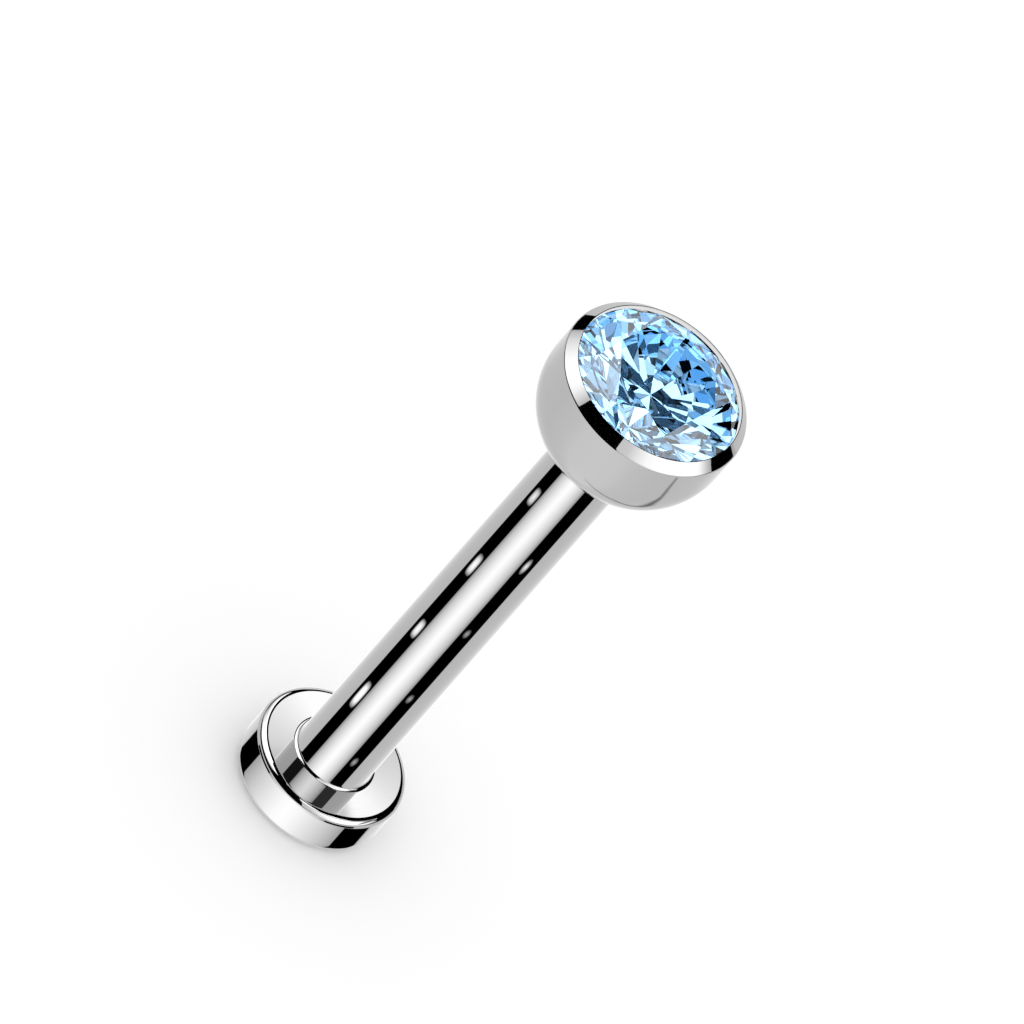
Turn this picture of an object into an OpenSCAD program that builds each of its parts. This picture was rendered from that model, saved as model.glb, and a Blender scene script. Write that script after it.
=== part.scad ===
// Labret stud: a straight post on a flat disc, with a screw-on cup that
// holds one round brilliant stone. It stands on its disc: the origin is
// the centre of the disc's flat face, and +Z runs up the post.

/* [Flat back] */
// Diameter of the flat disc
disc_d = 2.4; // [2:0.05:4]
// Thickness of the disc
disc_t = 0.8; // [0.5:0.05:1.4]
// Rounding of the disc's edge on the post side
disc_top_r = 0.11; // [0.04:0.01:0.2]
// Rounding of the disc's edge on the flat side
disc_foot_r = 0.2; // [0.04:0.01:0.25]

/* [Post] */
// Diameter of the post
post_d = 1.2; // [1:0.05:1.6]
// Wearing length of the post, from the disc to the cup
post_len = 8; // [5:0.5:12]
// Rounding in the corner between the post and the disc
post_fillet_r = 0.06; // [0.02:0.01:0.1]
// Bevel round the open end of the post
post_end_bevel = 0.02; // [0.01:0.005:0.04]
// Wall of the post round the pin of the cup
post_wall = 0.13; // [0.1:0.01:0.2]

/* [Pin under the cup] */
// Length of the pin that plugs into the post
pin_len = 2.5; // [1:0.1:4]
// Bevel round the tip of the pin
pin_tip_bevel = 0.08; // [0.02:0.01:0.15]
// Clearance between the pin and the post, and under the cup
pin_gap = 0.02; // [0.01:0.005:0.05]
// Free depth in the post beyond the tip of the pin
pin_end_room = 0.3; // [0.1:0.05:0.8]

/* [Cup] */
// Wall of the cup round the stone's widest line
cup_wall = 0.125; // [0.08:0.005:0.3]
// Radius of the bowl's rounded underside
bowl_r = 1.19; // [0.9:0.01:1.3]
// Floor of the cup under the stone's hollow
cup_floor = 0.48; // [0.3:0.02:0.8]
// How far the lip reaches in over the stone's edge
lip_reach = 0.03; // [0.01:0.005:0.05]
// Widening of the lip's mouth from the stone to the top
lip_flare = 0.005; // [0.001:0.001:0.02]
// Height of the lip's inner wall above the stone
lip_rise = 0.075; // [0.03:0.005:0.12]
// Width of the thin flat on top of the lip, inside its bevel
lip_land = 0.01; // [0.005:0.005:0.03]
// Slope of the bevel round the lip
lip_slope = 45; // [35:1:60]
// Width of the ledge that carries the stone
ledge_w = 0.4; // [0.2:0.02:0.6]
// Clearance between the stone and the cup
stone_gap = 0.015; // [0.01:0.005:0.04]

/* [Stone] */
// Diameter of the stone at its girdle
stone_d = 2.72; // [2.4:0.02:3.4]
// Diameter of the table, from corner to corner
table_d = 1.67; // [1.3:0.01:1.9]
// Reach of the star facets, from the table's side out to their tips
star_len = 0.305; // [0.2:0.005:0.4]
// Slope of the kite facets on the crown
crown_angle = 34.5; // [30:0.5:38]
// Slope of the main facets on the pavilion
pavilion_angle = 41; // [39:0.5:43]
// Thickness of the girdle
girdle_t = 0.06; // [0.03:0.01:0.12]
// Where the lower girdle facets end, measured out from the axis
lower_tip_r = 0.31; // [0.2:0.01:0.6]
// Turn of the stone in its cup
stone_turn = 7; // [0:1:44]

/* [Hidden] */
$fn = 96;
facets = 8;                       // kite facets, and main facets, on a round brilliant
facet_step = 360 / facets;

disc_r = disc_d / 2;
post_r = post_d / 2;
pin_r = post_r - post_wall - pin_gap;
post_top = disc_t + post_len;
bore_r = pin_r + pin_gap;
cup_z = post_top + pin_gap;       // underside of the cup
pin_tip_z = cup_z - pin_len;
bore_end_z = pin_tip_z - pin_end_room;

stone_r = stone_d / 2;
table_r = table_d / 2;
star_r = table_r * cos(facet_step / 2) + star_len;
culet_z = cup_z + cup_floor + stone_gap;
girdle_low_z = culet_z + stone_r * tan(pavilion_angle);
girdle_top_z = girdle_low_z + girdle_t;
table_z = girdle_top_z + (stone_r - table_r) * tan(crown_angle);
star_z = table_z - (star_r * cos(facet_step / 2) - table_r) * tan(crown_angle);
lower_tip_z = culet_z + lower_tip_r * cos(facet_step / 2) * tan(pavilion_angle);

seat_r = stone_r + stone_gap;
cup_r = seat_r + cup_wall;
bowl_x = cup_r - bowl_r;          // centre of the bowl's arc
bowl_z = cup_z + sqrt(bowl_r * bowl_r - pow(post_r - bowl_x, 2));
lip_low_r = stone_r - lip_reach;
crown_slope = (star_z - girdle_top_z) / (stone_r - star_r);      // from a star's tip to the girdle
lip_low_z = girdle_top_z + lip_reach * crown_slope + stone_gap;
lip_z = lip_low_z + lip_rise;
lip_r = lip_low_r + lip_flare;
bevel_r = lip_r + lip_land;       // inner edge of the bevel
bevel_z = lip_z - (cup_r - bevel_r) * tan(lip_slope);
seat_top_z = lip_low_z - (seat_r - lip_low_r) * crown_slope;
ledge_slope = (girdle_low_z - lower_tip_z) / (stone_r - lower_tip_r);
ledge_r = seat_r - ledge_w;
ledge_top_z = girdle_low_z - stone_gap;
ledge_low_z = ledge_top_z - ledge_w * ledge_slope;
overcut = 0.5;                    // how far a cutting block reaches past what it cuts

// Section of the disc, with both edges rounded
module disc_section() {
    square([disc_r - disc_foot_r, disc_t - disc_top_r]);
    translate([0, disc_foot_r]) square([disc_r, disc_t - disc_foot_r - disc_top_r]);
    translate([0, disc_foot_r]) square([disc_r - disc_top_r, disc_t - disc_foot_r]);
    translate([disc_r - disc_foot_r, disc_foot_r]) circle(r = disc_foot_r);
    translate([disc_r - disc_top_r, disc_t - disc_top_r]) circle(r = disc_top_r);
}

// Section of the corner between the post and the disc, hollow as a fillet is
module fillet_section() {
    difference() {
        translate([0, disc_t / 2]) square([post_r + post_fillet_r, disc_t / 2 + post_fillet_r]);
        translate([post_r + post_fillet_r, disc_t + post_fillet_r]) circle(r = post_fillet_r);
    }
}

// The disc and the post, turned from one piece, with a bore for the pin
module flat_back_post() {
    color("silver")
    rotate_extrude()
    difference() {
        union() {
            disc_section();
            fillet_section();
            polygon([[0, disc_t / 2], [post_r, disc_t / 2], [post_r, post_top - post_end_bevel],
                [post_r - post_end_bevel, post_top], [0, post_top]]);
        }
        translate([0, bore_end_z]) square([bore_r, post_top - bore_end_z + overcut]);
    }
}

// Outside of the cup: a bowl, a straight side and the bevelled lip
module cup_outline() {
    intersection() {
        translate([0, cup_z]) square([cup_r, lip_z - cup_z]);
        union() {
            translate([bowl_x, bowl_z]) circle(r = bowl_r);
            translate([0, cup_z]) square([bowl_x, lip_z - cup_z]);
            polygon([[0, bowl_z], [cup_r, bowl_z], [cup_r, bevel_z],
                [bevel_r, lip_z], [0, lip_z]]);
        }
    }
}

// Hollow of the cup: the mouth, the seat, the ledge and a well under the stone
module cup_hollow() {
    polygon([[0, lip_z + overcut], [lip_r, lip_z + overcut], [lip_r, lip_z], [lip_low_r, lip_low_z],
        [seat_r, seat_top_z], [seat_r, ledge_top_z], [ledge_r, ledge_low_z],
        [ledge_r, culet_z - stone_gap], [0, culet_z - stone_gap]]);
}

// The cup with the pin that holds it in the post
module stone_cup() {
    color("silver")
    rotate_extrude() {
        difference() {
            cup_outline();
            cup_hollow();
        }
        polygon([[0, cup_z + cup_floor / 2], [0, pin_tip_z], [pin_r - pin_tip_bevel, pin_tip_z],
            [pin_r, pin_tip_z + pin_tip_bevel], [pin_r, cup_z + cup_floor / 2]]);
    }
}

// Corners round the axis at one height, starting from the direction az
function ring(r, z, az) =
    [for (k = [0 : facets - 1]) [r * cos(az + k * facet_step), r * sin(az + k * facet_step), z]];

// The round brilliant: table, 8 stars, 8 kites and 16 upper facets over the
// girdle, 16 lower facets and 8 mains under it
module stone() {
    half = facet_step / 2;
    // where each ring of corners starts in the list of points
    table = 0;
    star = facets;
    top_kite = 2 * facets;
    top_mid = 3 * facets;
    low_kite = 4 * facets;
    low_mid = 5 * facets;
    low_tip = 6 * facets;
    culet = 7 * facets;
    points = concat(
        ring(table_r, table_z, 0), ring(star_r, star_z, half),
        ring(stone_r, girdle_top_z, 0), ring(stone_r, girdle_top_z, half),
        ring(stone_r, girdle_low_z, 0), ring(stone_r, girdle_low_z, half),
        ring(lower_tip_r, lower_tip_z, half), [[0, 0, culet_z]]);
    faces = concat(
        [[for (k = [facets - 1 : -1 : 0]) table + k]],
        [for (k = [0 : facets - 1]) let (next = (k + 1) % facets, last = (k + facets - 1) % facets)
            each [
                [table + k, table + next, star + k],
                [table + k, star + k, top_kite + k, star + last],
                [star + k, top_mid + k, top_kite + k],
                [star + k, top_kite + next, top_mid + k],
                [top_kite + k, top_mid + k, low_mid + k, low_kite + k],
                [top_mid + k, top_kite + next, low_kite + next, low_mid + k],
                [low_kite + k, low_mid + k, low_tip + k],
                [low_mid + k, low_kite + next, low_tip + k],
                [low_kite + k, low_tip + k, culet, low_tip + last]
            ]]);
    color("deepskyblue")
    rotate([0, 0, stone_turn])
    polyhedron(points = points, faces = faces, convexity = 2);
}

flat_back_post();
stone_cup();
stone();
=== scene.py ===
import math

import bmesh
import bpy
from mathutils import Matrix, Vector


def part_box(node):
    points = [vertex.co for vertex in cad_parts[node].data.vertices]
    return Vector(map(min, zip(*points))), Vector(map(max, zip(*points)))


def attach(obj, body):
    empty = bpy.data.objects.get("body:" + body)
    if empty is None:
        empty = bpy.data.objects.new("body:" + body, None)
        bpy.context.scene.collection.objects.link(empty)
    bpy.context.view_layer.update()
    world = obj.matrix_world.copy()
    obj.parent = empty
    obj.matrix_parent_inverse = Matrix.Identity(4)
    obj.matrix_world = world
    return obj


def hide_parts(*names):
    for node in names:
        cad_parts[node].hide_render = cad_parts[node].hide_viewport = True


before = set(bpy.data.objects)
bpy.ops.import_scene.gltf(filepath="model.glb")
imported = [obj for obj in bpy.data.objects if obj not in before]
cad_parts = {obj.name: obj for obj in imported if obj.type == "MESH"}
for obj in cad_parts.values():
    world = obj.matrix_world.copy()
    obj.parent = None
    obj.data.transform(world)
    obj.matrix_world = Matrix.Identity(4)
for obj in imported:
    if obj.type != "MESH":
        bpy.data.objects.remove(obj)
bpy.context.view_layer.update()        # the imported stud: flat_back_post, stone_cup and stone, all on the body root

mm = 0.001               # one millimetre, in Blender's metres


def linearLight(value):      # an sRGB value between 0 and 1 as linear light
    return value / 12.92 if value < 0.04045 else ((value + 0.055) / 1.055) ** 2.4


def hexColour(code):
    return [linearLight(int(code[i:i + 2], 16) / 255) for i in (1, 3, 5)] + [1.0]


def addNode(tree, kind, settings={}, inputs={}):
    # an input takes a plain value, or a link when it is given another node's socket
    node = tree.nodes.new(kind)
    for name, value in settings.items():
        setattr(node, name, value)
    for name, value in inputs.items():
        if isinstance(value, bpy.types.NodeSocket):
            tree.links.new(value, node.inputs[name])
        else:
            node.inputs[name].default_value = value
    return node


def newMaterial(name):
    material = bpy.data.materials.new(name)
    material.use_nodes = True
    material.node_tree.nodes.clear()
    return material, material.node_tree


# Metal finishes. Both are titanium: the post and the bright-cut bevel are buffed to a mirror.
metalLook = {
    "colour": "#d4d4d4",
    "mirrorRoughness": 0.02,
    "satinRoughness": 0.06,
    "wheelLine": 0.09,       # spacing of the buffing wheel's lines in mm, drawn coarse enough to show
    "wheelHaze": 0.02,       # roughness that the lines add
}


def buffedTitanium(name, roughness):
    # buffed on a wheel: clean reflections with a faint haze in rings round the post's axis
    material, tree = newMaterial(name)
    place = addNode(tree, "ShaderNodeTexCoord")
    apart = addNode(tree, "ShaderNodeSeparateXYZ", {}, {0: place.outputs["Object"]})
    flat = addNode(tree, "ShaderNodeCombineXYZ", {}, {0: apart.outputs[0], 1: apart.outputs[1]})
    radius = addNode(tree, "ShaderNodeVectorMath", {"operation": "LENGTH"}, {0: flat.outputs[0]})
    along = addNode(tree, "ShaderNodeMath", {}, {0: radius.outputs["Value"], 1: apart.outputs[2]})
    lines = addNode(tree, "ShaderNodeTexNoise", {"noise_dimensions": "1D"},
                    {"W": along.outputs[0], "Scale": 1 / (metalLook["wheelLine"] * mm), "Detail": 3.0})
    haze = addNode(tree, "ShaderNodeMapRange", {},
                   {"Value": lines.outputs[0], "From Min": 0.3, "From Max": 0.7,
                    "To Min": roughness, "To Max": roughness + metalLook["wheelHaze"]})
    metal = addNode(tree, "ShaderNodeBsdfPrincipled", {},
                    {"Base Color": hexColour(metalLook["colour"]), "Metallic": 1.0,
                     "Roughness": haze.outputs[0]})
    addNode(tree, "ShaderNodeOutputMaterial", {}, {"Surface": metal.outputs[0]})
    return material


stoneLook = {
    "ior": 2.17,             # cubic zirconia
    "tint": "#37c8f6",       # what the body colour lets through
    "density": 310.0,        # of that colour, for each metre
    "backColour": "#f7f7f7",
    # from here on: the painted glow in the facets, which stands in for light mirrored too often to be followed
    "followed": 4,           # mirrored this often, light is no longer followed
    "deepScale": 4.2,        # how fast the shade changes with the facet's slope
    "deepRange": (0.5, 0.58),        # the noise that gives a black facet and a bright one
    "deepLight": 1.6,        # how bright the bright ones are
}


def deepLight(tree, shader):
    # a painted glow that stands in for the light mirrored too often to be followed: each facet glows at one shade,
    # dark to bright
    path = addNode(tree, "ShaderNodeLightPath")
    deep = addNode(tree, "ShaderNodeMath", {"operation": "GREATER_THAN"},
                   {0: path.outputs["Glossy Depth"], 1: stoneLook["followed"] - 0.5})
    facet = addNode(tree, "ShaderNodeNewGeometry")
    patches = addNode(tree, "ShaderNodeTexNoise", {},
                      {"Vector": facet.outputs["True Normal"], "Scale": stoneLook["deepScale"],
                       "Detail": 0.0})
    shade = addNode(tree, "ShaderNodeMapRange", {},
                    {"Value": patches.outputs[0], "From Min": stoneLook["deepRange"][0],
                     "From Max": stoneLook["deepRange"][1], "To Max": stoneLook["deepLight"]})
    light = addNode(tree, "ShaderNodeMath", {"operation": "MULTIPLY"},
                    {0: deep.outputs[0], 1: shade.outputs[0]})
    shader.inputs["Emission Color"].default_value = (1, 1, 1, 1)
    tree.links.new(light.outputs[0], shader.inputs["Emission Strength"])


def cutZirconia(name):
    # cubic zirconia, cut and polished: clear, strongly refracting, sky blue in the body
    material, tree = newMaterial(name)
    glass = addNode(tree, "ShaderNodeBsdfPrincipled", {},
                    {"Base Color": (1, 1, 1, 1), "Roughness": 0.0, "IOR": stoneLook["ior"],
                     "Transmission Weight": 1.0})
    body = addNode(tree, "ShaderNodeVolumeAbsorption", {},
                   {"Color": hexColour(stoneLook["tint"]), "Density": stoneLook["density"]})
    # the facets carry a painted glow in place of the deepest reflections
    deepLight(tree, glass)
    addNode(tree, "ShaderNodeOutputMaterial", {},
            {"Surface": glass.outputs[0], "Volume": body.outputs[0]})
    return material


def silveredBack(name):
    # a silver coat on the pavilion: the photo's stone shows no window where a bare one would
    material, tree = newMaterial(name)
    silver = addNode(tree, "ShaderNodeBsdfPrincipled", {},
                     {"Base Color": hexColour(stoneLook["backColour"]), "Metallic": 1.0, "Roughness": 0.0})
    # the silver coat carries the same painted glow
    deepLight(tree, silver)
    addNode(tree, "ShaderNodeOutputMaterial", {}, {"Surface": silver.outputs[0]})
    return material


mirrorTitanium = buffedTitanium("mirror_buffed_titanium", metalLook["mirrorRoughness"])
satinTitanium = buffedTitanium("soft_buffed_titanium", metalLook["satinRoughness"])
blueZirconia = cutZirconia("polished_blue_cubic_zirconia")
stoneSilver = silveredBack("silver_coat_behind_stone")
print("finishes made")


# A turned piece is a section swung round the post's axis. A section is a list of corners, each with
# its distance from the axis, its height and its rounding.
turning = {
    "stepsRound": 180,
    "arcStep": math.radians(7.5),
    "hold": 0.008 * mm,      # a point this close to each arc keeps the straight run beside it straight
    "weld": 0.0002 * mm,
    "sharpAbove": math.radians(30),
}


def roundCorner(before, corner, after, rounding):
    # the points that take a corner round an arc, from its first tangent point to its last
    toBefore = (before - corner).normalized()
    toAfter = (after - corner).normalized()
    halfAngle = toBefore.angle(toAfter) / 2
    reach = rounding / math.tan(halfAngle)
    centre = corner + (toBefore + toAfter).normalized() * rounding / math.sin(halfAngle)
    start = corner + toBefore * reach
    turn = math.pi - 2 * halfAngle
    side = math.copysign(1, toAfter.x * toBefore.y - toAfter.y * toBefore.x)
    steps = max(3, math.ceil(turn / turning["arcStep"]))
    arc = [centre + Matrix.Rotation(side * turn * i / steps, 2) @ (start - centre)
           for i in range(steps + 1)]
    hold = turning["hold"]
    return [start + toBefore * hold] + arc + [corner + toAfter * (reach + hold)]


def sectionPoints(corners):
    places = [Vector(c[:2]) for c in corners]
    points = [places[0]]
    for i in range(1, len(corners) - 1):
        rounding = corners[i][2]
        if rounding > 0:
            points += roundCorner(places[i - 1], places[i], places[i + 1], rounding)
        else:
            points.append(places[i])
    return points + [places[-1]]


def treeWithInputs(name, sockets):
    tree = bpy.data.node_groups.new(name, "GeometryNodeTree")
    tree.interface.new_socket("Geometry", in_out="OUTPUT", socket_type="NodeSocketGeometry")
    tree.interface.new_socket("Geometry", in_out="INPUT", socket_type="NodeSocketGeometry")
    for label, kind in sockets:
        tree.interface.new_socket(label, in_out="INPUT", socket_type=kind)
    return tree


def turningTree():
    # swings a section round Z: each column of a grid takes the section's points, turned by its own angle
    tree = treeWithInputs("turned_on_the_lathe", [
        ("Steps Round", "NodeSocketInt"), ("Weld", "NodeSocketFloat"), ("Sharp Above", "NodeSocketFloat"),
        ("Bright From", "NodeSocketFloat"), ("Finish", "NodeSocketMaterial"),
        ("Bright Finish", "NodeSocketMaterial")])
    given = addNode(tree, "NodeGroupInput")
    section = given.outputs["Geometry"]
    size = addNode(tree, "GeometryNodeAttributeDomainSize", {}, {0: section})
    rows = size.outputs["Point Count"]
    columns = addNode(tree, "ShaderNodeMath", {}, {0: given.outputs["Steps Round"], 1: 1.0})
    grid = addNode(tree, "GeometryNodeMeshGrid", {},
                   {"Vertices X": columns.outputs[0], "Vertices Y": rows})
    index = addNode(tree, "GeometryNodeInputIndex")
    share = addNode(tree, "ShaderNodeMath", {"operation": "DIVIDE"}, {0: index.outputs[0], 1: rows})
    column = addNode(tree, "ShaderNodeMath", {"operation": "FLOOR"}, {0: share.outputs[0]})
    row = addNode(tree, "ShaderNodeMath", {"operation": "FLOORED_MODULO"}, {0: index.outputs[0], 1: rows})
    place = addNode(tree, "GeometryNodeInputPosition")
    sample = addNode(tree, "GeometryNodeSampleIndex", {"data_type": "FLOAT_VECTOR", "domain": "POINT"},
                     {"Geometry": section, "Value": place.outputs[0], "Index": row.outputs[0]})
    turns = addNode(tree, "ShaderNodeMath", {"operation": "DIVIDE"},
                    {0: column.outputs[0], 1: given.outputs["Steps Round"]})
    angle = addNode(tree, "ShaderNodeMath", {"operation": "MULTIPLY"}, {0: turns.outputs[0], 1: math.tau})
    swung = addNode(tree, "ShaderNodeVectorRotate", {"rotation_type": "Z_AXIS"},
                    {"Vector": sample.outputs[0], "Angle": angle.outputs[0]})
    shaped = addNode(tree, "GeometryNodeSetPosition", {},
                     {"Geometry": grid.outputs["Mesh"], "Position": swung.outputs[0]})
    welded = addNode(tree, "GeometryNodeMergeByDistance", {},
                     {"Geometry": shaped.outputs[0], "Distance": given.outputs["Weld"]})
    smooth = addNode(tree, "GeometryNodeSetShadeSmooth", {"domain": "FACE"},
                     {"Geometry": welded.outputs[0], "Shade Smooth": True})
    bend = addNode(tree, "GeometryNodeInputMeshEdgeAngle")
    hard = addNode(tree, "ShaderNodeMath", {"operation": "GREATER_THAN"},
                   {0: bend.outputs[0], 1: given.outputs["Sharp Above"]})
    edged = addNode(tree, "GeometryNodeSetShadeSmooth", {"domain": "EDGE"},
                    {"Geometry": smooth.outputs[0], "Selection": hard.outputs[0], "Shade Smooth": False})
    real = addNode(tree, "GeometryNodeRealizeInstances", {}, {"Geometry": edged.outputs[0]})
    dressed = addNode(tree, "GeometryNodeSetMaterial", {},
                      {"Geometry": real.outputs[0], "Material": given.outputs["Finish"]})
    height = addNode(tree, "ShaderNodeSeparateXYZ", {}, {0: place.outputs[0]})
    above = addNode(tree, "ShaderNodeMath", {"operation": "GREATER_THAN"},
                    {0: height.outputs[2], 1: given.outputs["Bright From"]})
    bright = addNode(tree, "GeometryNodeSetMaterial", {},
                     {"Geometry": dressed.outputs[0], "Selection": above.outputs[0],
                      "Material": given.outputs["Bright Finish"]})
    addNode(tree, "NodeGroupOutput", {}, {"Geometry": bright.outputs[0]})
    return tree


def grown(name, vertices, edges, faces, tree, values):
    # runs a node tree on a small base mesh, and keeps the result as a plain mesh with its faces outwards
    base = bpy.data.meshes.new(name + "_base")
    base.from_pydata(vertices, edges, faces)
    holder = bpy.data.objects.new(name + "_base", base)
    bpy.context.scene.collection.objects.link(holder)
    modifier = holder.modifiers.new("grow", "NODES")
    modifier.node_group = tree
    for item in tree.interface.items_tree:
        if item.item_type == "SOCKET" and item.in_out == "INPUT" and item.name in values:
            modifier[item.identifier] = values[item.name]
    evaluated = holder.evaluated_get(bpy.context.evaluated_depsgraph_get())
    mesh = bpy.data.meshes.new_from_object(evaluated)
    mesh.name = name
    bpy.data.objects.remove(holder)
    bpy.data.meshes.remove(base)
    outwards(mesh)
    piece = bpy.data.objects.new(name, mesh)
    bpy.context.scene.collection.objects.link(piece)
    return piece


def outwards(mesh):
    shell = bmesh.new()
    shell.from_mesh(mesh)
    bmesh.ops.recalc_face_normals(shell, faces=shell.faces)
    shell.to_mesh(mesh)
    shell.free()


latheTree = turningTree()


def turned(name, corners, finish, brightFinish=None, brightFrom=1.0):
    points = sectionPoints(corners)
    vertices = [(p.x, 0, p.y) for p in points]
    edges = [(i, i + 1) for i in range(len(points) - 1)]
    return grown(name, vertices, edges, [], latheTree, {
        "Steps Round": turning["stepsRound"], "Weld": turning["weld"], "Sharp Above": turning["sharpAbove"],
        "Bright From": brightFrom, "Finish": finish, "Bright Finish": brightFinish or finish})


# The flat back and its post, turned from one rod, and drilled for the cup's pin
postSizes = {
    "discThickness": 0.8,
    "discTopRounding": 0.11,
    "discFootRounding": 0.2,
    "postRadius": 0.6,
    "footFillet": 0.06,
    "endBevel": 0.02,
    "boreRadius": 0.47,
    "boreDepth": 2.78,
}
brokenEdge = 0.004 * mm      # a polished corner is never quite sharp


def makeFlatBackPost():
    size = {name: value * mm for name, value in postSizes.items()}
    low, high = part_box("flat_back_post")
    post = size["postRadius"]
    bore = size["boreRadius"]
    corners = [
        (0, low.z, 0),
        (high.x, low.z, size["discFootRounding"]),
        (high.x, low.z + size["discThickness"], size["discTopRounding"]),
        (post, low.z + size["discThickness"], size["footFillet"]),
        (post, high.z - size["endBevel"], brokenEdge),
        (post - size["endBevel"], high.z, brokenEdge),
        (bore, high.z, brokenEdge),
        (bore, high.z - size["boreDepth"], 0),
        (0, high.z - size["boreDepth"], 0),
    ]
    return turned("polished_flat_back_post", corners, mirrorTitanium)


# The cup: a bowl with a straight side and a bright-cut bevel round its mouth
cupSizes = {
    "pinRadius": 0.45,
    "pinTipBevel": 0.08,
    "pinLength": 2.5,
    "bowlRadius": 1.19,
    "bevelFoot": 10.5188,
    "brightFrom": 10.5158,       # the bevel is buffed brighter than the side
    "bevelInner": 1.345,
    "lipRadius": 1.335,
    "lipLow": (1.33, 10.5988),
    "seat": (1.375, 10.559, 10.4822),
    "ledge": (0.975, 10.1267),
    "wellFloor": 9.3,
    "creaseRounding": 0.055,
}


def makeCup():
    low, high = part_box("stone_cup")
    post = postSizes["postRadius"] * mm
    pin = cupSizes["pinRadius"] * mm
    tip = cupSizes["pinTipBevel"] * mm
    under = low.z + cupSizes["pinLength"] * mm
    bowl = cupSizes["bowlRadius"] * mm
    bowlX = high.x - bowl
    reach = math.acos((post - bowlX) / bowl)
    bowlZ = under + bowl * math.sin(reach)
    lipLow = [v * mm for v in cupSizes["lipLow"]]
    seat = [v * mm for v in cupSizes["seat"]]
    ledge = [v * mm for v in cupSizes["ledge"]]
    steps = math.ceil(reach / math.radians(3))
    arc = [reach * (1 - i / steps) for i in range(steps + 1)]
    corners = [(0, low.z, 0), (pin - tip, low.z, 0), (pin, low.z + tip, 0), (pin, under, 0)]
    corners += [(bowlX + bowl * math.cos(t), bowlZ - bowl * math.sin(t), 0) for t in arc]
    corners += [
        (high.x, bowlZ + turning["hold"], 0),
        (high.x, cupSizes["bevelFoot"] * mm, cupSizes["creaseRounding"] * mm),
        (cupSizes["bevelInner"] * mm, high.z, brokenEdge),
        (cupSizes["lipRadius"] * mm, high.z, brokenEdge),
        (lipLow[0], lipLow[1], 0),
        (seat[0], seat[1], 0),
        (seat[0], seat[2], 0),
        (ledge[0], ledge[1], brokenEdge),
        (ledge[0], cupSizes["wellFloor"] * mm, 0),
        (0, cupSizes["wellFloor"] * mm, 0),
    ]
    return turned("bezel_cup", corners, satinTitanium, mirrorTitanium, cupSizes["brightFrom"] * mm)


# The stone: one eighth of a round brilliant, copied round
stoneSizes = {
    "eighths": 8,
    "radius": 1.36,
    "tableRadius": 0.835,
    "starRadius": 1.0764,
    "starHeight": 10.8084,
    "girdleTop": 10.5572,
    "girdleLow": 10.4972,
    "silverBelow": 10.5472,      # the girdle and all under it have the silver coat
    "lowerTipRadius": 0.31,
    "lowerTipHeight": 9.564,
    "turn": math.radians(7),
}


def eighthsTree():
    # copies one eighth of the stone round Z and welds the copies along their shared edges
    tree = treeWithInputs("cut_all_round", [
        ("Eighths", "NodeSocketInt"), ("Turn", "NodeSocketFloat"), ("Weld", "NodeSocketFloat"),
        ("Finish", "NodeSocketMaterial"), ("Back Below", "NodeSocketFloat"),
        ("Back", "NodeSocketMaterial")])
    given = addNode(tree, "NodeGroupInput")
    line = addNode(tree, "GeometryNodeMeshLine", {},
                   {"Count": given.outputs["Eighths"], "Offset": (0, 0, 0)})
    index = addNode(tree, "GeometryNodeInputIndex")
    share = addNode(tree, "ShaderNodeMath", {"operation": "DIVIDE"},
                    {0: index.outputs[0], 1: given.outputs["Eighths"]})
    angle = addNode(tree, "ShaderNodeMath", {"operation": "MULTIPLY_ADD"},
                    {0: share.outputs[0], 1: math.tau, 2: given.outputs["Turn"]})
    rotation = addNode(tree, "ShaderNodeCombineXYZ", {}, {2: angle.outputs[0]})
    copies = addNode(tree, "GeometryNodeInstanceOnPoints", {},
                     {"Points": line.outputs[0], "Instance": given.outputs["Geometry"],
                      "Rotation": rotation.outputs[0]})
    real = addNode(tree, "GeometryNodeRealizeInstances", {}, {"Geometry": copies.outputs[0]})
    welded = addNode(tree, "GeometryNodeMergeByDistance", {},
                     {"Geometry": real.outputs[0], "Distance": given.outputs["Weld"]})
    dressed = addNode(tree, "GeometryNodeSetMaterial", {},
                      {"Geometry": welded.outputs[0], "Material": given.outputs["Finish"]})
    place = addNode(tree, "GeometryNodeInputPosition")
    height = addNode(tree, "ShaderNodeSeparateXYZ", {}, {0: place.outputs[0]})
    below = addNode(tree, "ShaderNodeMath", {"operation": "LESS_THAN"},
                    {0: height.outputs[2], 1: given.outputs["Back Below"]})
    silvered = addNode(tree, "GeometryNodeSetMaterial", {},
                       {"Geometry": dressed.outputs[0], "Selection": below.outputs[0],
                        "Material": given.outputs["Back"]})
    addNode(tree, "NodeGroupOutput", {}, {"Geometry": silvered.outputs[0]})
    return tree


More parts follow.
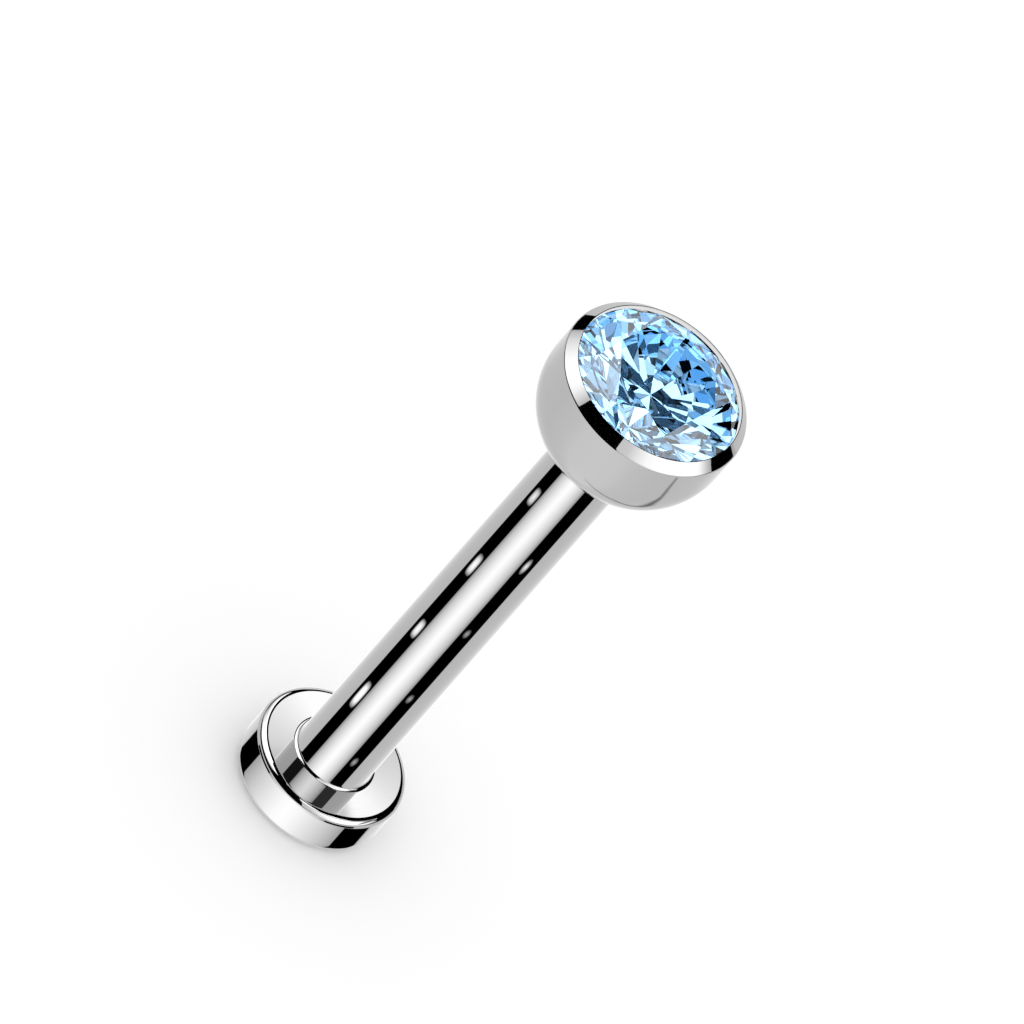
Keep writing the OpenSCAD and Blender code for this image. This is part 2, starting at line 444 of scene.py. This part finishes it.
def makeStone():
    low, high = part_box("stone")
    size = {name: value * mm for name, value in stoneSizes.items() if name not in ("eighths", "turn")}
    half = math.pi / stoneSizes["eighths"]

    def at(radius, height, side):
        return (radius * math.cos(half * side), radius * math.sin(half * side), height)

    flatHalf = size["tableRadius"] * math.cos(half)
    vertices = [
        (0, 0, high.z), at(size["tableRadius"], high.z, 0),
        at(flatHalf, high.z, -1), at(flatHalf, high.z, 1),
        at(size["starRadius"], size["starHeight"], -1), at(size["starRadius"], size["starHeight"], 1),
        at(size["radius"], size["girdleTop"], 0), at(size["radius"], size["girdleTop"], -1),
        at(size["radius"], size["girdleTop"], 1),
        at(size["radius"], size["girdleLow"], 0), at(size["radius"], size["girdleLow"], -1),
        at(size["radius"], size["girdleLow"], 1),
        at(size["lowerTipRadius"], size["lowerTipHeight"], -1),
        at(size["lowerTipRadius"], size["lowerTipHeight"], 1), (0, 0, low.z),
    ]
    faces = [
        (0, 2, 1), (0, 1, 3), (2, 4, 1), (1, 5, 3),              # table and the halves of two stars
        (1, 4, 6, 5), (4, 7, 6), (5, 6, 8),                      # kite and two upper girdle facets
        (7, 10, 9, 6), (6, 9, 11, 8),                            # girdle
        (10, 12, 9), (9, 13, 11), (9, 12, 14, 13),               # two lower girdle facets and a main
    ]
    return grown("round_brilliant", vertices, [], faces, eighthsTree(), {
        "Eighths": stoneSizes["eighths"], "Turn": stoneSizes["turn"], "Weld": turning["weld"],
        "Finish": blueZirconia, "Back Below": size["silverBelow"], "Back": stoneSilver})


flatBackPost = makeFlatBackPost()
flatBackPost.visible_glossy = False      # in the photo the post and the cup don't mirror it
cup = makeCup()
stone = makeStone()
for piece, node, slot in ((flatBackPost, "flat_back_post", "post_metal"),
                          (cup, "stone_cup", "cup_metal"),
                          (stone, "stone", "blue_stone")):
    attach(piece, "root")
    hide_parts(node)
print("post, cup and stone made")


# The camera looks down at the photo's angle. It is turned so that the post leans as it does there.
view = {
    "elevation": math.radians(44.0),
    "postLean": math.radians(48.695),        # from the picture's lower edge up to the post's axis
    "pixelsPerMm": 69.5,
    "pictureSize": 1024,
    "discTopPixel": (334.5, 754.4),          # the centre of the disc's top in the picture
    "distance": 60.0,                        # mm
}


def makeCamera():
    across = Vector((1, 0, 0))
    upPicture = Vector((0, math.sin(view["elevation"]), math.cos(view["elevation"])))
    back = Vector((0, -math.cos(view["elevation"]), math.sin(view["elevation"])))
    lean = view["postLean"]
    right = across * math.sin(lean) + upPicture * math.cos(lean)
    up = upPicture * math.sin(lean) - across * math.cos(lean)
    discTop = Vector((0, 0, postSizes["discThickness"] * mm))
    middle = view["pictureSize"] / 2
    toRight = (middle - view["discTopPixel"][0]) / view["pixelsPerMm"] * mm
    toTop = (view["discTopPixel"][1] - middle) / view["pixelsPerMm"] * mm
    centre = discTop + right * toRight + up * toTop
    data = bpy.data.cameras.new("camera")
    data.type = "ORTHO"
    data.ortho_scale = view["pictureSize"] / view["pixelsPerMm"] * mm
    data.clip_start = 1 * mm
    data.clip_end = 1.0
    camera = bpy.data.objects.new("camera", data)
    bpy.context.scene.collection.objects.link(camera)
    turn = Matrix((right, up, back)).transposed().to_4x4()
    camera.matrix_world = Matrix.Translation(centre + back * view["distance"] * mm) @ turn
    bpy.context.scene.camera = camera


makeCamera()


# The floor is white card. The metal doesn't mirror it: it mirrors the lit cards further down.
def makeFloor():
    material, tree = newMaterial("white_matt_card")
    paper = addNode(tree, "ShaderNodeBsdfDiffuse", {}, {"Color": hexColour("#f7f7f7")})
    addNode(tree, "ShaderNodeOutputMaterial", {}, {"Surface": paper.outputs[0]})
    half = 400 * mm
    mesh = bpy.data.meshes.new("floor")
    corners = [(-half, -half, 0), (half, -half, 0), (half, half, 0), (-half, half, 0)]
    mesh.from_pydata(corners, [], [(0, 1, 2, 3)])
    mesh.materials.append(material)
    floor = bpy.data.objects.new("floor", mesh)
    bpy.context.scene.collection.objects.link(floor)
    floor.visible_glossy = False


makeFloor()


def litCardMaterial(name, backShare):
    # lit on its face, and on its back either lit too or clear
    material, tree = newMaterial(name)
    shade = addNode(tree, "ShaderNodeAttribute", {"attribute_name": "shade"})
    light = addNode(tree, "ShaderNodeEmission", {}, {"Strength": shade.outputs["Fac"]})
    clear = addNode(tree, "ShaderNodeBsdfTransparent")
    side = addNode(tree, "ShaderNodeNewGeometry")
    share = addNode(tree, "ShaderNodeMath", {"operation": "MULTIPLY"},
                    {0: side.outputs["Backfacing"], 1: 1.0 - backShare})
    both = addNode(tree, "ShaderNodeMixShader", {},
                   {0: share.outputs[0], 1: light.outputs[0], 2: clear.outputs[0]})
    addNode(tree, "ShaderNodeOutputMaterial", {}, {"Surface": both.outputs[0]})
    return material


litCard = litCardMaterial("lit_card", 1.0)
clearBackedCard = litCardMaterial("lit_card_with_clear_back", 0.0)
metalBrightness = hexColour(metalLook["colour"])[0]


def makeCard(name, vertices, faces, shades, finish=litCard):
    # a card that is only ever seen mirrored in the metal, where it shows at the given sRGB shades
    mesh = bpy.data.meshes.new(name)
    mesh.from_pydata([tuple(v * mm for v in place) for place in vertices], [], faces)
    light = [linearLight(shade / 255) / metalBrightness for shade in shades]
    mesh.attributes.new("shade", "FLOAT", "POINT").data.foreach_set("value", light)
    mesh.materials.append(finish)
    card = bpy.data.objects.new(name, mesh)
    bpy.context.scene.collection.objects.link(card)
    card.visible_camera = False
    card.visible_diffuse = False
    card.visible_transmission = False
    card.visible_volume_scatter = False
    card.visible_shadow = False


def withSteps(stops, widest):
    # adds stops in between, so that no gap is wider than this
    filled = []
    for here, there in zip(stops, stops[1:]):
        parts = math.ceil((there[0] - here[0]) / widest)
        filled += [[a + (b - a) * i / parts for a, b in zip(here, there)] for i in range(parts)]
    return filled + [stops[-1]]


def mirroredSpot(wallRadius, facing, reach):
    # An upright round wall that faces this way mirrors the spot at twice the angle, this far off
    facing = math.radians(facing)
    x = wallRadius * math.sin(facing) + reach * math.sin(2 * facing)
    y = wallRadius * math.cos(facing) + reach * math.cos(2 * facing)
    return x, -y


def reachTo(wallRadius, facing, distance):
    # how far off the wall's mirrored spot is when it lies this far from the axis
    facing = math.radians(facing)
    return math.sqrt(distance ** 2 - (wallRadius * math.sin(facing)) ** 2) - wallRadius * math.cos(facing)


# Cards for the upright walls and the bowl. Each stop is the angle at which the wall faces, from its
# middle to its side, and the shade there. Lengths are in mm.
apronHeight = 3.3
underStops = [(0, 198), (12, 196), (20, 188), (35, 182), (60, 184), (90, 215)]
farStops = underStops[:-1] + [(90, 188)]
postStops = [(0, 255), (4.1, 247), (8.3, 233), (12.5, 215), (16.7, 194), (20.6, 150), (21.4, 0),
             (38.8, 0), (39.6, 180), (58, 185), (70, 197), (90, 240)]
wallCards = {
    "card_for_disc": {
        "wallRadius": 1.2,
        "stops": [(0, 255), (6, 250), (12, 240), (18, 228), (24, 216), (30, 202), (36, 184), (42, 160),
                  (42.6, 0), (63, 0), (63.6, 170), (66, 196), (78, 205), (90, 235)],
        "edges": [{"reach": 0.005, "height": -0.01}, {"reach": 0.76, "height": -0.01}],
    },
    "card_for_foot_of_post": {
        "wallRadius": 0.6,
        "edges": [{"reach": 1.363, "height": -0.01}, {"reach": 3.30, "height": -0.01}],
    },
    "card_inside_disc": {
        "wallRadius": 0.6,
        "edges": [{"reach": 0.07, "height": 0.765}, {"reach": 0.566, "height": 0.765}],
    },
    "sleeve_for_post": {
        "wallRadius": 0.6,
        "edges": [{"distance": 0.606, "height": 0.9}, {"distance": 0.606, "height": 8.79}],
        "finish": clearBackedCard,       # so that the cup doesn't mirror it
    },
    "sleeve_behind_post": {
        "wallRadius": 0.6,
        "behind": True,
        "stops": postStops[:-1] + [(82, 240)],
        "edges": [{"distance": 0.607, "height": 0.9}, {"distance": 0.607, "height": 8.79}],
        "finish": clearBackedCard,
    },
    "apron_for_cup": {
        "wallRadius": 0,
        "stops": underStops,
        "edges": [{"reach": 0.63, "height": apronHeight}, {"reach": 11, "height": apronHeight}],
        "finish": clearBackedCard,       # hides the cards round the foot from the cup alone
    },
    "apron_for_bevel": {
        "wallRadius": 0,
        "stops": farStops,
        "edges": [{"reach": 11, "height": apronHeight}, {"reach": 40, "height": apronHeight}],
        "finish": clearBackedCard,
    },
    "card_under_all": {
        "wallRadius": 0,
        "stops": farStops,
        "edges": [{"reach": 0.3, "height": -0.02}, {"reach": 400, "height": -0.02}],
    },
}

for name, card in wallCards.items():
    stops = card.get("stops", postStops)
    stops = [(-angle, shade) for angle, shade in reversed(stops[1:])] + stops
    columns = withSteps(stops, 3)
    way = -1 if card.get("behind") else 1
    vertices, faces, shades = [], [], []
    for i, (facing, shade) in enumerate(columns):
        for edge in card["edges"]:
            reach = edge.get("reach")
            if reach is None:
                reach = reachTo(card["wallRadius"], facing, edge["distance"])
            x, y = mirroredSpot(card["wallRadius"], facing, reach)
            vertices.append((way * x, way * y, edge["height"]))
            shades.append(shade)
        if i:
            faces.append((2 * i - 2, 2 * i - 1, 2 * i + 1, 2 * i))
    makeCard(name, vertices, faces, shades, card.get("finish", litCard))

# The post isn't mirrored itself. In its place this card just inside it shows a painted reflection of the post: with
# the post's bands at its foot, for the disc's top, and close under the cup, and plain in between.
mirroredPost = {
    "radius": 0.597,
    "heights": (0.8, 2.5, 2.51, 7.8, 7.81, 8.81),
    "plainBetween": (2.505, 7.805),
    "share": 0.84,
    "darkLeft": 18,
    "darkRight": 41,
    "plain": 184,
}


def makeMirroredPost():
    vertices, faces, shades = [], [], []
    stops = [(-angle, shade) for angle, shade in reversed(postStops[1:])] + postStops
    rows = len(mirroredPost["heights"])
    for i, (facing, shade) in enumerate(withSteps(stops, 3)):
        dark = mirroredPost["darkLeft" if facing < 0 else "darkRight"]
        banded = max(mirroredPost["share"] * shade, dark)
        for j, height in enumerate(mirroredPost["heights"]):
            vertices.append((*mirroredSpot(mirroredPost["radius"], facing, 0), height))
            isPlain = mirroredPost["plainBetween"][0] < height < mirroredPost["plainBetween"][1]
            shades.append(mirroredPost["plain"] if isPlain else banded)
            if i and j:
                corner = i * rows + j
                faces.append((corner - rows - 1, corner - 1, corner, corner - rows))
    makeCard("post_as_mirrored", vertices, faces, shades)


makeMirroredPost()

# A light ring just inside the cup's lip, which the lip's inner wall mirrors and not the stone
lipRing = {"radius": 1.3265, "corners": 96, "rows": [(10.594, 230), (10.645, 222), (10.672, 178)]}


def makeLipRing():
    vertices, faces, shades = [], [], []
    rows = len(lipRing["rows"])
    for i in range(lipRing["corners"] + 1):
        turn = math.tau * i / lipRing["corners"]
        x = lipRing["radius"] * math.cos(turn)
        y = lipRing["radius"] * math.sin(turn)
        for j, (height, shade) in enumerate(lipRing["rows"]):
            vertices.append((x, y, height))
            shades.append(shade)
            if i and j:
                corner = i * rows + j
                faces.append((corner - rows - 1, corner - 1, corner, corner - rows))
    makeCard("ring_in_lip", vertices, faces, shades, clearBackedCard)


makeLipRing()

# A curved dark strip on a card just over the apron, a painted dark reflection that the cup mirrors as its one thin
# dark line. Each place along it has x and y, the strip's half width there and its shade.
darkStripOnApron = {
    "height": 3.31,
    "edgeShade": 184,
    "places": [
        (8.90, -0.95, 0.25, 120), (8.49, -0.82, 0.30, 112), (8.04, -0.63, 0.45, 96),
        (5.83, 0.09, 0.62, 84), (4.25, 0.91, 0.75, 84), (3.55, 1.02, 0.60, 84), (3.13, 0.69, 0.38, 88),
        (2.81, 0.16, 0.30, 92), (2.49, -0.52, 0.26, 95), (2.04, -1.07, 0.22, 100),
        (1.56, -1.70, 0.18, 110), (1.12, -2.22, 0.16, 130), (0.75, -2.66, 0.13, 150),
        (0.41, -3.02, 0.10, 178),
    ],
}


# makes the painted dark strip that the cup mirrors as a dark line
def makeDarkStripOnApron():
    vertices, faces, shades = [], [], []
    places = darkStripOnApron["places"]
    for i, (x, y, halfWidth, shade) in enumerate(places):
        before = Vector(places[max(i - 1, 0)][:2])
        after = Vector(places[min(i + 1, len(places) - 1)][:2])
        across = (after - before).orthogonal().normalized() * halfWidth
        for side in (-1, 0, 1):
            vertices.append((x + side * across.x, y + side * across.y, darkStripOnApron["height"]))
            shades.append(darkStripOnApron["edgeShade"] if side else shade)
        if i:
            for j in (1, 2):
                corner = 3 * i + j
                faces.append((corner - 4, corner - 3, corner, corner - 1))
    makeCard("dark_strip_on_apron", vertices, faces, shades)


makeDarkStripOnApron()

# Softboxes far off, for the bevel and the rounded edges. Each stop is an angle round the post from
# the front, the lower and the upper edge of the box there, and its shades at both edges.
softboxes = {
    "left_softbox": [(-158, 24, 52, 240, 300), (-150, 16, 60, 230, 330), (-141, 14, 66, 200, 330),
                     (-131, 12, 68, 150, 330), (-124, 7, 68, 180, 330), (-117, 9, 68, 205, 330),
                     (-109, 14, 68, 226, 330), (-102, 18, 67, 240, 330), (-90, 20, 66, 250, 320),
                     (-77, 23, 65, 245, 300), (-67, 28, 64, 226, 290), (-57, 33, 62, 190, 260),
                     (-51, 35, 60, 165, 220)],
    "right_softbox": [(11, 6, 60, 180, 200), (24, 4, 62, 190, 205), (36, 3, 64, 215, 235),
                      (47, 3, 66, 238, 255), (57, 3, 68, 255, 255), (94, 6, 68, 255, 300),
                      (102, 10, 67, 232, 300),
                      (109, 12, 64, 180, 300), (113, 14, 60, 160, 280)],
    "low_left_softbox": [(-180, -3, 28, 206, 220), (-166, -3, 24, 195, 215), (-158, -3, 14, 195, 210),
                         (-150, -3, 2, 195, 200)],
    "low_right_softbox": [(136, -3, 6, 166, 166), (146, -3, 14, 166, 175), (156, -3, 20, 170, 190),
                          (166, -3, 25, 190, 210), (180, -3, 28, 206, 220)],
    "top_softbox": [(8, 58, 74, 220, 280), (24, 58, 76, 240, 300), (60, 60, 74, 230, 280)],
}
softboxDistance = 250        # mm
softboxRows = 12


def towards(azimuth, elevation, distance):
    azimuth = math.radians(azimuth)
    elevation = math.radians(elevation)
    flat = distance * math.cos(elevation)
    return (flat * math.sin(azimuth), -flat * math.cos(azimuth), distance * math.sin(elevation))


for name, stops in softboxes.items():
    vertices, faces, shades = [], [], []
    for i, (azimuth, low, high, lowShade, highShade) in enumerate(withSteps(stops, 3)):
        for j in range(softboxRows + 1):
            up = j / softboxRows
            vertices.append(towards(azimuth, low + (high - low) * up, softboxDistance))
            shades.append(lowShade + (highShade - lowShade) * up)
            if i and j:
                corner = i * (softboxRows + 1) + j
                faces.append((corner - softboxRows - 2, corner - 1, corner, corner - softboxRows - 1))
    makeCard(name, vertices, faces, shades)

# A dark patch far out on the card under all, seen at the back of the bevel. Each corner is an angle
# round the post and a distance in mm.
darkPatch = [(-150, 118), (-150, 430), (-128, 430), (-128, 118)]
patchCorners = [towards(azimuth, 0, reach) for azimuth, reach in darkPatch]
makeCard("dark_patch", [(x, y, -0.01) for x, y, z in patchCorners], [(0, 1, 2, 3)], [0, 0, 0, 0])

# The flat top of the disc mirrors only this card, up behind the post. It shades round like a fan.
fan = {
    "distance": 20,          # mm, beyond the post
    "radii": (0.01, 1.32),
    "stops": [(-180, 255), (-122, 255), (-100, 241), (-70, 224), (-49, 213), (-40, 196), (40, 196),
              (49, 255), (70, 250), (100, 228), (130, 213), (180, 200)],
}


def makeFan():
    slope = math.tan(view["elevation"])
    middle = (0, fan["distance"], postSizes["discThickness"] + fan["distance"] * slope)
    vertices, faces, shades = [], [], []
    for i, (azimuth, shade) in enumerate(withSteps(fan["stops"], 4)):
        for radius in fan["radii"]:
            x, y, _ = towards(azimuth, 0, radius)
            vertices.append((x, middle[1], middle[2] - y * slope))
            shades.append(shade)
        if i:
            faces.append((2 * i - 2, 2 * i - 1, 2 * i + 1, 2 * i))
    makeCard("fan_for_disc_top", vertices, faces, shades)


makeFan()

# Small lamps with soft edges inside the sleeve, mirrored in the post's dark bands. Each has the
# height at which it shows, its half length and its shade.
lamps = {
    "facing": 28.9,              # where the post mirrors them, in degrees from its middle
    "distance": 0.603,           # from the post's axis
    "corners": 32,
    "softShare": 0.85,           # the shade where the soft edge starts, as a share
    "left": {"halfAngle": 5.8, "squareness": 0.6, "softFrom": 0.55,
             "each": [(2.55, 0.33, 290), (4.30, 0.23, 265), (6.00, 0.27, 265), (7.81, 0.21, 240)]},
    "right": {"halfAngle": 4.4, "squareness": 1.0, "softFrom": 0.3,
              "each": [(1.45, 0.12, 168), (3.13, 0.12, 165), (4.86, 0.12, 165), (6.65, 0.21, 245)]},
}


def makeLamps(side, sign):
    radius = postSizes["postRadius"]
    halfAngle = lamps[side]["halfAngle"]
    squareness = lamps[side]["squareness"]
    steps = lamps["corners"]
    vertices, faces, shades = [], [], []

    def spot(facing, height):
        reach = reachTo(radius, facing, lamps["distance"])
        x, y = mirroredSpot(radius, facing, reach)
        return x, y, height - reach * math.tan(view["elevation"])

    def squared(value):
        return math.copysign(abs(value) ** squareness, value)

    for height, halfLength, shade in lamps[side]["each"]:
        first = len(vertices)
        vertices.append(spot(sign * lamps["facing"], height))
        shades.append(shade)
        for size, share in ((lamps[side]["softFrom"], lamps["softShare"]), (1, 0)):
            for i in range(steps):
                turn = math.tau * i / steps
                facing = sign * lamps["facing"] + size * halfAngle * squared(math.cos(turn))
                vertices.append(spot(facing, height + size * halfLength * squared(math.sin(turn))))
                shades.append(share * shade)
        for i in range(steps):
            inner = first + 1 + i
            nextInner = first + 1 + (i + 1) % steps
            faces += [(first, nextInner, inner), (inner, nextInner, nextInner + steps, inner + steps)]
    makeCard("lamps_" + side, vertices, faces, shades, clearBackedCard)


makeLamps("left", -1)
makeLamps("right", 1)

# The studio itself: white all round for the floor and dark between the softboxes for the metal. What
# the stone refracts is a loose grid of bright panels, laid out over the sky by its two spacings.
studio = {
    "floorLight": 1.12,
    "panelSpacing": (0.684, 0.454),
    "panelShift": (0.935, 0.865),
    "panelEdge": (-0.45, 0.35),
    "panelLight": 3.2,
    "betweenPanels": 0.02,
}


def makeWorld():
    world = bpy.data.worlds.new("soft_studio")
    bpy.context.scene.world = world
    world.use_nodes = True
    tree = world.node_tree
    tree.nodes.clear()
    place = addNode(tree, "ShaderNodeTexCoord")
    apart = addNode(tree, "ShaderNodeSeparateXYZ", {}, {0: place.outputs["Generated"]})
    above = addNode(tree, "ShaderNodeMath", {}, {0: apart.outputs[2], 1: 1.0})
    waves = []
    for axis in (0, 1):
        flat = addNode(tree, "ShaderNodeMath", {"operation": "DIVIDE"},
                       {0: apart.outputs[axis], 1: above.outputs[0]})
        turns = addNode(tree, "ShaderNodeMath", {"operation": "MULTIPLY_ADD"},
                        {0: flat.outputs[0], 1: math.tau / studio["panelSpacing"][axis],
                         2: math.tau * studio["panelShift"][axis]})
        waves.append(addNode(tree, "ShaderNodeMath", {"operation": "COSINE"}, {0: turns.outputs[0]}))
    grid = addNode(tree, "ShaderNodeMath", {}, {0: waves[0].outputs[0], 1: waves[1].outputs[0]})
    panels = addNode(tree, "ShaderNodeMapRange", {"interpolation_type": "SMOOTHSTEP"},
                     {"Value": grid.outputs[0], "From Min": studio["panelEdge"][0],
                      "From Max": studio["panelEdge"][1], "To Min": studio["betweenPanels"],
                      "To Max": studio["panelLight"]})
    path = addNode(tree, "ShaderNodeLightPath")
    notMirrored = addNode(tree, "ShaderNodeMath", {"operation": "MULTIPLY_ADD"},
                          {0: path.outputs["Is Glossy Ray"], 1: -studio["floorLight"],
                           2: studio["floorLight"]})
    strength = addNode(tree, "ShaderNodeMix", {"data_type": "FLOAT"},
                       {0: path.outputs["Is Transmission Ray"], 2: notMirrored.outputs[0],
                        3: panels.outputs[0]})
    sky = addNode(tree, "ShaderNodeBackground", {},
                  {"Color": (1, 1, 1, 1), "Strength": strength.outputs[0]})
    addNode(tree, "ShaderNodeOutputWorld", {}, {"Surface": sky.outputs[0]})


makeWorld()
bpy.context.scene.view_settings.view_transform = "Standard"
print("camera, floor and light made")
